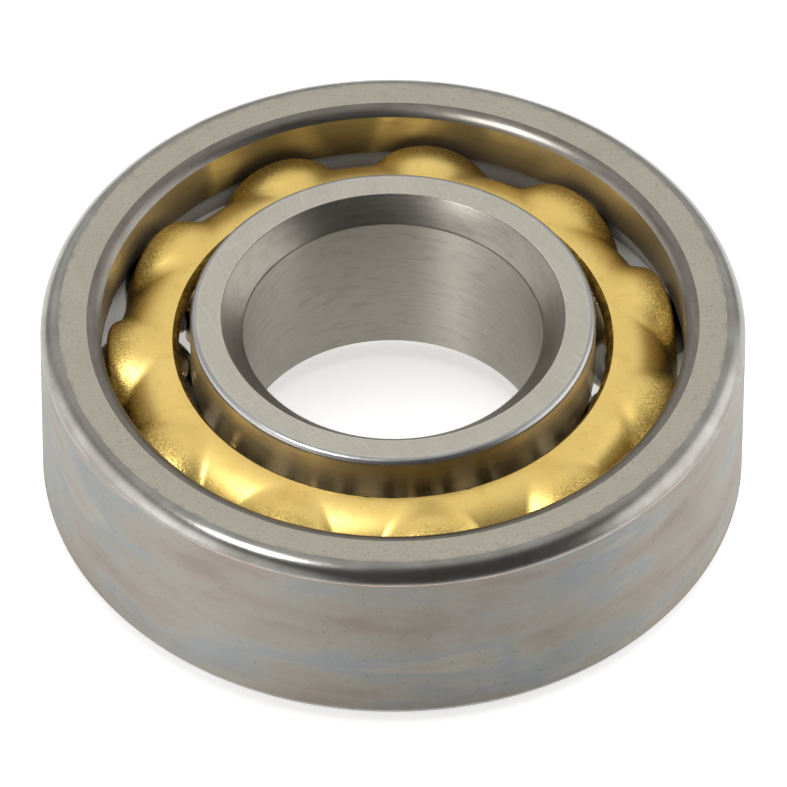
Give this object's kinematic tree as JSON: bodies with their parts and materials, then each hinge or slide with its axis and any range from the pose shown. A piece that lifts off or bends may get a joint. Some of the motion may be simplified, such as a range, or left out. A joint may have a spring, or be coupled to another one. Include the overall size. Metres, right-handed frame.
{
  "type": "ball bearing",
  "caption": "Separable ball bearing: grooved inner and outer steel rings with a row of steel balls held in a pressed brass cage, so a shaft turns freely in a housing.",
  "frame": {"origin": "centre of the outer ring's lower face, on the bearing axis", "axes": "+Z along the bearing axis, from the open side of the outer ring to its shoulder side"},
  "size_m": [0.047, 0.047, 0.0143],
  "materials": {
    "outer_ring_steel": "ground faces and outside, lightly oil stained, polished groove and land",
    "inner_ring_steel": "ground faces and bore, polished groove and shoulders",
    "cage_brass": "pressed sheet, satin, slightly peened on the domes, rough sheared edges",
    "ball_steel": "mirror polished"
  },
  "bodies": {
    "outer_ring": {"outer_ring": "outer_ring_steel"},
    "inner_ring": {"inner_ring": "inner_ring_steel"},
    "cage": {"cage": "cage_brass"},
    "ball_01": {"ball_01": "ball_steel"},
    "ball_02": {"ball_02": "ball_steel"},
    "ball_03": {"ball_03": "ball_steel"},
    "ball_04": {"ball_04": "ball_steel"},
    "ball_05": {"ball_05": "ball_steel"},
    "ball_06": {"ball_06": "ball_steel"},
    "ball_07": {"ball_07": "ball_steel"},
    "ball_08": {"ball_08": "ball_steel"},
    "ball_09": {"ball_09": "ball_steel"},
    "ball_10": {"ball_10": "ball_steel"},
    "ball_11": {"ball_11": "ball_steel"}
  },
  "joints": [
    {"name": "inner_ring_spin", "type": "hinge", "parent": "outer_ring", "child": "inner_ring", "pos_m": [0, 0, 0.00725], "axis": [0, 0, 1], "continuous": true},
    {"name": "cage_spin", "type": "hinge", "parent": "outer_ring", "child": "cage", "pos_m": [0, 0, 0.00725], "axis": [0, 0, 1], "continuous": true},
    {"name": "ball_01_spin", "type": "hinge", "parent": "cage", "child": "ball_01", "pos_m": [0.00224, 0.01655, 0.00725], "axis": [0, 0, 1], "continuous": true},
    {"name": "ball_02_spin", "type": "hinge", "parent": "cage", "child": "ball_02", "pos_m": [-0.00706, 0.01513, 0.00725], "axis": [0, 0, 1], "continuous": true},
    {"name": "ball_03_spin", "type": "hinge", "parent": "cage", "child": "ball_03", "pos_m": [-0.01412, 0.00891, 0.00725], "axis": [0, 0, 1], "continuous": true},
    {"name": "ball_04_spin", "type": "hinge", "parent": "cage", "child": "ball_04", "pos_m": [-0.0167, -0.00014, 0.00725], "axis": [0, 0, 1], "continuous": true},
    {"name": "ball_05_spin", "type": "hinge", "parent": "cage", "child": "ball_05", "pos_m": [-0.01397, -0.00915, 0.00725], "axis": [0, 0, 1], "continuous": true},
    {"name": "ball_06_spin", "type": "hinge", "parent": "cage", "child": "ball_06", "pos_m": [-0.00681, -0.01525, 0.00725], "axis": [0, 0, 1], "continuous": true},
    {"name": "ball_07_spin", "type": "hinge", "parent": "cage", "child": "ball_07", "pos_m": [0.00252, -0.01651, 0.00725], "axis": [0, 0, 1], "continuous": true},
    {"name": "ball_08_spin", "type": "hinge", "parent": "cage", "child": "ball_08", "pos_m": [0.01104, -0.01253, 0.00725], "axis": [0, 0, 1], "continuous": true},
    {"name": "ball_09_spin", "type": "hinge", "parent": "cage", "child": "ball_09", "pos_m": [0.01606, -0.00457, 0.00725], "axis": [0, 0, 1], "continuous": true},
    {"name": "ball_10_spin", "type": "hinge", "parent": "cage", "child": "ball_10", "pos_m": [0.01598, 0.00484, 0.00725], "axis": [0, 0, 1], "continuous": true},
    {"name": "ball_11_spin", "type": "hinge", "parent": "cage", "child": "ball_11", "pos_m": [0.01083, 0.01271, 0.00725], "axis": [0, 0, 1], "continuous": true}
  ],
  "couplings": [
    {"joint": "cage_spin", "follows": "inner_ring_spin", "ratio": 0.3812},
    {"joint": "ball_01_spin", "follows": "inner_ring_spin", "ratio": -1.985},
    {"joint": "ball_02_spin", "follows": "inner_ring_spin", "ratio": -1.985},
    {"joint": "ball_03_spin", "follows": "inner_ring_spin", "ratio": -1.985},
    {"joint": "ball_04_spin", "follows": "inner_ring_spin", "ratio": -1.985},
    {"joint": "ball_05_spin", "follows": "inner_ring_spin", "ratio": -1.985},
    {"joint": "ball_06_spin", "follows": "inner_ring_spin", "ratio": -1.985},
    {"joint": "ball_07_spin", "follows": "inner_ring_spin", "ratio": -1.985},
    {"joint": "ball_08_spin", "follows": "inner_ring_spin", "ratio": -1.985},
    {"joint": "ball_09_spin", "follows": "inner_ring_spin", "ratio": -1.985},
    {"joint": "ball_10_spin", "follows": "inner_ring_spin", "ratio": -1.985},
    {"joint": "ball_11_spin", "follows": "inner_ring_spin", "ratio": -1.985}
  ]
}
